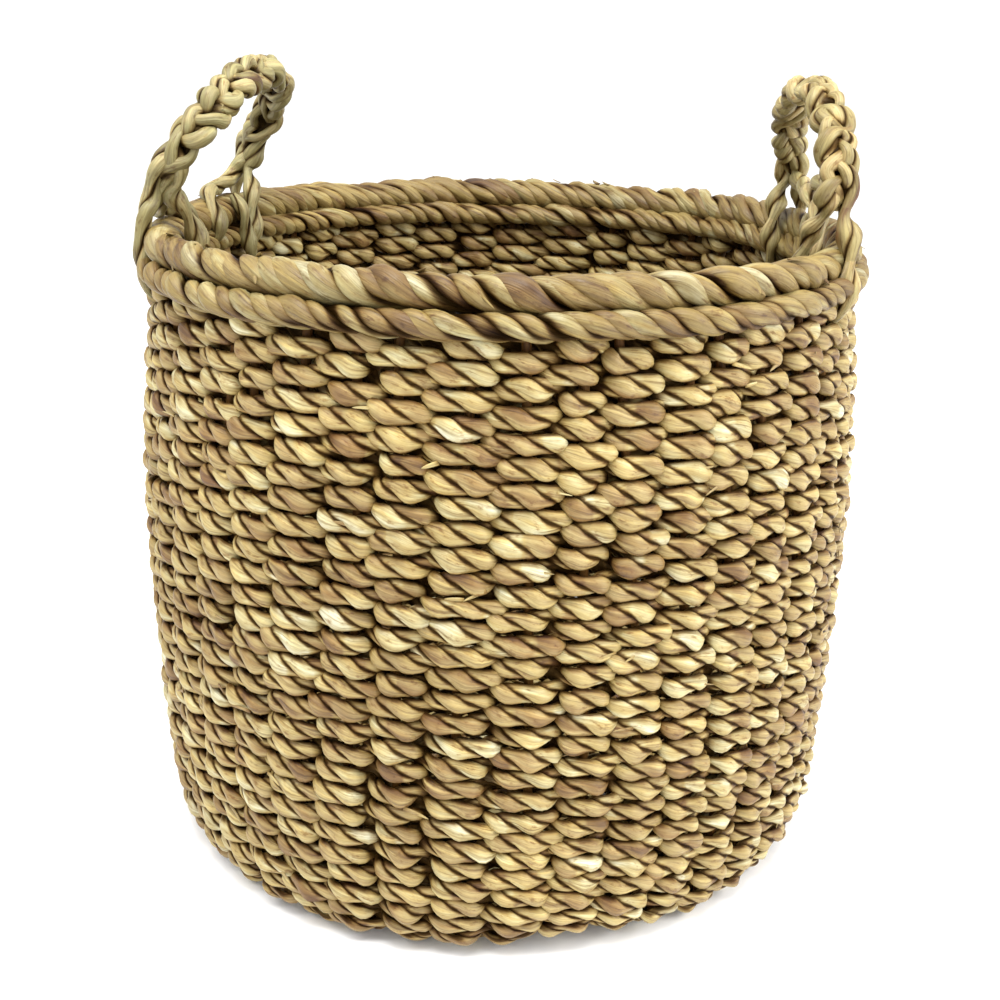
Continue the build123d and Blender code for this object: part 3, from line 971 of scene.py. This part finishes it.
def handle(name, shape):
    """One rope handle: three strands plaited into a flat strap and bent into a loop, which part above
    each foot and go down outside the wall, down inside it, and along or across to the other foot."""
    side = shape["side"]
    joint = next(item for item in frame["joints"] if item["child"] == f"{name}_handle")
    hinge = np.array(joint["pos_m"])
    low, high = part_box(f"{name}_handle_rope")
    half = high.y - ROPE_END_RADIUS
    rim_radius = math.hypot(half, hinge[0])
    half += shape["spread"]
    foot_angle = math.asin(half / rim_radius)
    middle_angle = 0.0 if side > 0 else math.pi
    inner_edge = low.x if side > 0 else high.x
    base = np.array([side * rim_radius * math.cos(foot_angle), 0, hinge[2] - shape["sink"]])
    crown = np.array([inner_edge + side * (ROPE_RADIUS - shape["inward"]), -shape["forward"],
                      high.z - ROPE_RADIUS + shape["rise"]])
    lift = crown - base

    def foot_point(end, place):
        """A point of a tail at the foot on the front (end -1) or back (end 1)."""
        out, along, above = (value * MM for value in place)
        angle = middle_angle + side * end * (foot_angle - along / rim_radius)
        return ring_point(angle, rim_radius + out, hinge[2] + above)

    first_turn = math.asin(((PLAIT_START + shape["sink"]) / lift[2])**(1 / shape["squareness"]))
    turn = np.linspace(first_turn, math.pi - first_turn, PLAIT_POINTS)
    backward = np.array([0.0, 1.0, 0.0])
    arch = np.sin(turn)**shape["squareness"]
    spine = base + arch[:, None] * lift - half * np.cos(turn)[:, None] * backward
    spine[:, 0] += side * shape["bow"] * np.sin(2 * turn)
    along = unit(np.gradient(spine, axis=0))
    width = side * unit(np.cross(backward, lift))
    thick = unit(np.cross(along, width))

    def in_the_plait(rings):
        away = np.linalg.norm(rings[:, :, None] - spine[None, None], axis=-1).min(-1)
        return core_shade(away, PLAIT_SHADE)

    strands = Strands()
    for strand, (front_tail, back_tail) in enumerate(zip(shape["front"], shape["back"])):
        seed = HANDLE_SEEDS[name] + strand
        random = np.random.default_rng(seed)
        share = np.linspace(0, 1, PLAIT_POINTS)
        phase = FULL_TURN * (PLAIT_PERIODS * share + (strand + 0.5) / 3)
        loose = 1 + PLAIT_LOOSENESS * wander(random, PLAIT_POINTS, PLAIT_KNOTS)
        plait = spine + width * (PLAIT_SWING * loose * np.sin(phase))[:, None] \
            + thick * (PLAIT_DEPTH * np.sin(2 * phase))[:, None]
        first = [foot_point(-1, place) for place in reversed(front_tail)]
        last = [foot_point(1, place) for place in back_tail]
        path = smooth_curve(np.concatenate([first, plait[::PLAIT_SKIP], last]), STRAND_POINTS)
        thickness = PLAIT_STRAND * (1 + STRAND_WANDER * wander(random, STRAND_POINTS, STRAND_KNOTS))
        thickness = thickness * np.interp(np.linspace(0, 1, STRAND_POINTS),
                                          [0, TAIL_SHARE, 1 - TAIL_SHARE, 1], [TAIL_END, 1, 1, TAIL_END])
        add_cord(strands, path, carried(path, width), thickness, thickness, STRAND_TURNS + strand, strand,
                 False, seed, buried=in_the_plait)
    piece = strands.build(f"{name}_handle_plait", HANDLE_GRASS[name])
    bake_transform(piece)
    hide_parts(f"{name}_handle_rope", f"{name}_handle_front_foot", f"{name}_handle_back_foot")


# ---------------------------------------------------------------- studio

FLOOR_SIZE = 30
FLOOR_WHITE = 0.96
FLOOR_ROUGHNESS = 0.9
SKY_STRENGTH = 1.15
AIM = Vector((0, 0, 0.25))
# name, place, side of the square lamp, power in watts
LAMPS = [("key", (-1.4, -0.8, 2.2), 1.1, 26), ("fill", (1.8, -0.5, 1.2), 1.2, 40),
         ("top", (0.0, -0.5, 1.7), 0.8, 34)]


def studio():
    """A plain pale floor, a soft white sky and large soft lamps."""
    floor_material = bpy.data.materials.new("pale_floor")
    floor_material.use_nodes = True
    shader = floor_material.node_tree.nodes["Principled BSDF"]
    shader.inputs["Base Color"].default_value = (FLOOR_WHITE, FLOOR_WHITE, FLOOR_WHITE, 1)
    shader.inputs["Roughness"].default_value = FLOOR_ROUGHNESS
    bpy.ops.mesh.primitive_plane_add(size=FLOOR_SIZE)
    floor = bpy.context.object
    floor.name = "floor"
    floor.data.materials.append(floor_material)
    world = bpy.data.worlds.new("soft_sky")
    world.use_nodes = True
    background = world.node_tree.nodes["Background"]
    background.inputs["Color"].default_value = (1.0, 1.0, 1.0, 1)
    background.inputs["Strength"].default_value = SKY_STRENGTH
    bpy.context.scene.world = world
    for name, place, size, power in LAMPS:
        lamp = bpy.data.lights.new(name, "AREA")
        lamp.size = size
        lamp.energy = power
        holder = bpy.data.objects.new(name, lamp)
        bpy.context.scene.collection.objects.link(holder)
        holder.location = place
        holder.rotation_euler = (AIM - Vector(place)).to_track_quat("-Z", "Y").to_euler()
    bpy.context.scene.view_settings.view_transform = "Standard"


CAMERA_DISTANCE = 0.800
CAMERA_ELEVATION = math.radians(19.94)
CAMERA_AZIMUTH = math.radians(4.5)   # moved from the front towards the right handle
CAMERA_ROLL = math.radians(1.0)
FOCAL_LENGTH = 1.3127                # in widths of the picture
CAMERA_SHIFT = (0.0037, 0.0108)


def camera():
    """The camera, close by and looking a little down into the basket."""
    middle = Vector((0, 0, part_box("rim_border")[1].z / 2))
    away = Vector((
        math.sin(CAMERA_AZIMUTH) * math.cos(CAMERA_ELEVATION),
        -math.cos(CAMERA_AZIMUTH) * math.cos(CAMERA_ELEVATION),
        math.sin(CAMERA_ELEVATION),
    ))
    data = bpy.data.cameras.new("camera")
    data.lens = data.sensor_width * FOCAL_LENGTH
    data.shift_x, data.shift_y = CAMERA_SHIFT
    holder = bpy.data.objects.new("camera", data)
    bpy.context.scene.collection.objects.link(holder)
    holder.location = middle + away * CAMERA_DISTANCE
    aim = (-away).to_track_quat("-Z", "Y")
    holder.rotation_euler = (aim @ Quaternion((0, 0, 1), CAMERA_ROLL)).to_euler()
    bpy.context.scene.camera = holder


woven_rows()
loose_ends()
stakes()
base_middle()
rim()
rim_loose_ends()
for handle_name, handle_shape in HANDLES.items():
    handle(handle_name, handle_shape)
studio()
camera()
